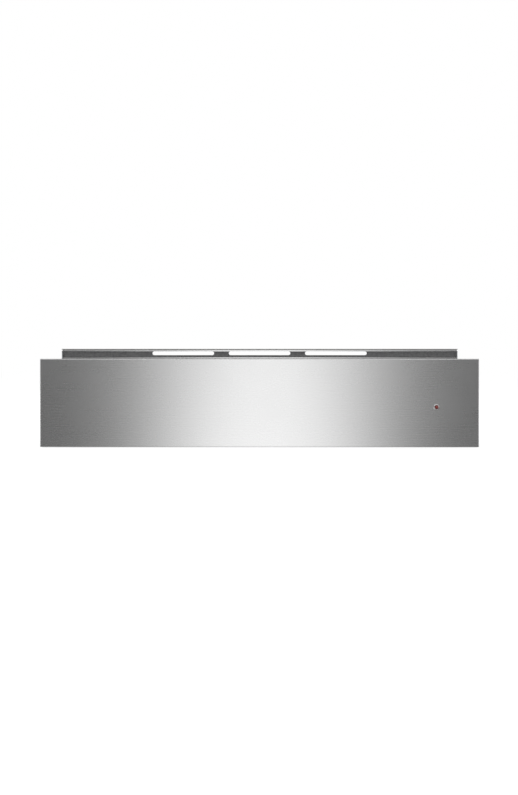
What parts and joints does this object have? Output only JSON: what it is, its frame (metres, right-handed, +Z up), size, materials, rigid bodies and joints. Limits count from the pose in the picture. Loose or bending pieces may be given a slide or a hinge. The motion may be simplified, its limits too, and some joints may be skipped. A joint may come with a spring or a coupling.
{
  "type": "built-in warming drawer",
  "caption": "Handleless 60 cm built-in warming drawer: brushed steel front with a pilot lamp, vented sheet chassis, fan heater and full-extension tub.",
  "frame": {"origin": "middle of the footprint, on the shelf that carries the chassis", "axes": "+X to the right seen from the front, +Y back into the cupboard, +Z up; the steel front faces -Y"},
  "size_m": [0.595, 0.5508, 0.134],
  "materials": {
    "brushed_front": "stainless steel brushed lengthways",
    "tub_steel": "satin stainless sheet",
    "galvanised": "galvanised sheet",
    "zinc_plated": "bright zinc plate",
    "chrome": "polished chrome",
    "red_lens": "clear red plastic, unlit",
    "silicone": "black silicone",
    "black_glass": "black glass",
    "dark_plastic": "moulded dark plastic",
    "pale_plastic": "moulded heat-proof plastic",
    "fan_aluminium": "pressed aluminium",
    "heater_sheath": "heat-tinted steel tube",
    "motor_iron": "laminated iron"
  },
  "bodies": {
    "chassis": {"base_pan": "galvanised", "side_wall_left": "galvanised", "side_wall_right": "galvanised", "rear_panel": "galvanised", "ceiling_plate": "galvanised", "top_cover": "galvanised", "vent_rail": "brushed_front", "cover_stringer_left": "galvanised", "cover_stringer_right": "galvanised", "cupboard_bracket_left": "zinc_plated", "cupboard_bracket_right": "zinc_plated", "cover_screw_front_left": "zinc_plated", "cover_screw_front_right": "zinc_plated", "cover_screw_rear_left": "zinc_plated", "cover_screw_rear_right": "zinc_plated", "bracket_screw_left_lower": "zinc_plated", "bracket_screw_left_upper": "zinc_plated", "bracket_screw_right_lower": "zinc_plated", "bracket_screw_right_upper": "zinc_plated", "rear_screw_left": "zinc_plated", "rear_screw_right": "zinc_plated", "runner_outer_left": "zinc_plated", "runner_outer_right": "zinc_plated", "baffle_grille": "galvanised", "heater_box": "galvanised", "heating_element": "heater_sheath", "fan_motor": "motor_iron", "overheat_cutout": "dark_plastic", "terminal_block": "pale_plastic", "cable_gland": "dark_plastic", "latch_body": "dark_plastic", "curly_lead": "silicone"},
    "drawer": {"front_fascia": "brushed_front", "front_liner": "galvanised", "front_seal": "silicone", "lamp_bezel": "chrome", "lamp_lens": "red_lens", "lamp_holder": "pale_plastic", "drawer_floor": "tub_steel", "drawer_back": "tub_steel", "drawer_side_left": "tub_steel", "drawer_side_right": "tub_steel", "inner_front": "tub_steel", "floor_mat": "silicone", "control_panel": "black_glass", "thermostat_body": "pale_plastic", "switch_body": "pale_plastic", "latch_striker": "zinc_plated", "runner_inner_left": "zinc_plated", "runner_inner_right": "zinc_plated"},
    "middle_left": {"runner_middle_left": "zinc_plated"},
    "middle_right": {"runner_middle_right": "zinc_plated"},
    "outer_cage_left": {"ball_cage_outer_left": "dark_plastic"},
    "outer_cage_right": {"ball_cage_outer_right": "dark_plastic"},
    "inner_cage_left": {"ball_cage_inner_left": "dark_plastic"},
    "inner_cage_right": {"ball_cage_inner_right": "dark_plastic"},
    "knob": {"thermostat_knob": "dark_plastic"},
    "button": {"power_button": "dark_plastic"},
    "fan": {"fan_wheel": "fan_aluminium"},
    "latch": {"latch_lever": "zinc_plated"}
  },
  "joints": [
    {"name": "drawer_slide", "type": "slide", "parent": "chassis", "child": "drawer", "axis": [0, -1, 0], "range_m": [-0.003, 0.4], "deforming": ["curly_lead"]},
    {"name": "middle_slide_left", "type": "slide", "parent": "chassis", "child": "middle_left", "axis": [0, -1, 0], "range_m": [-0.0015, 0.2]},
    {"name": "middle_slide_right", "type": "slide", "parent": "chassis", "child": "middle_right", "axis": [0, -1, 0], "range_m": [-0.0015, 0.2]},
    {"name": "outer_cage_slide_left", "type": "slide", "parent": "chassis", "child": "outer_cage_left", "axis": [0, -1, 0], "range_m": [-0.00075, 0.1]},
    {"name": "outer_cage_slide_right", "type": "slide", "parent": "chassis", "child": "outer_cage_right", "axis": [0, -1, 0], "range_m": [-0.00075, 0.1]},
    {"name": "inner_cage_slide_left", "type": "slide", "parent": "chassis", "child": "inner_cage_left", "axis": [0, -1, 0], "range_m": [-0.00225, 0.3]},
    {"name": "inner_cage_slide_right", "type": "slide", "parent": "chassis", "child": "inner_cage_right", "axis": [0, -1, 0], "range_m": [-0.00225, 0.3]},
    {"name": "thermostat_turn", "type": "hinge", "parent": "drawer", "child": "knob", "pos_m": [0.2171, -0.23035, 0.1], "axis": [0, 0, -1], "range_deg": [0, 270]},
    {"name": "power_press", "type": "slide", "parent": "drawer", "child": "button", "axis": [0, 0, -1], "range_m": [0, 0.002], "stiffness_N_per_m": 400, "springref_m": -0.0005},
    {"name": "fan_spin", "type": "hinge", "parent": "chassis", "child": "fan", "pos_m": [0, 0.2, 0.0551], "axis": [0, 1, 0], "continuous": true},
    {"name": "latch_swing", "type": "hinge", "parent": "chassis", "child": "latch", "pos_m": [-0.017, 0.15875, 0.005], "axis": [0, 0, 1], "range_deg": [-8, 8], "stiffness_Nm_per_rad": 0.02}
  ],
  "couplings": [
    {"joint": "middle_slide_left", "follows": "drawer_slide", "ratio": 0.5},
    {"joint": "middle_slide_right", "follows": "drawer_slide", "ratio": 0.5},
    {"joint": "outer_cage_slide_left", "follows": "drawer_slide", "ratio": 0.25},
    {"joint": "outer_cage_slide_right", "follows": "drawer_slide", "ratio": 0.25},
    {"joint": "inner_cage_slide_left", "follows": "drawer_slide", "ratio": 0.75},
    {"joint": "inner_cage_slide_right", "follows": "drawer_slide", "ratio": 0.75}
  ]
}
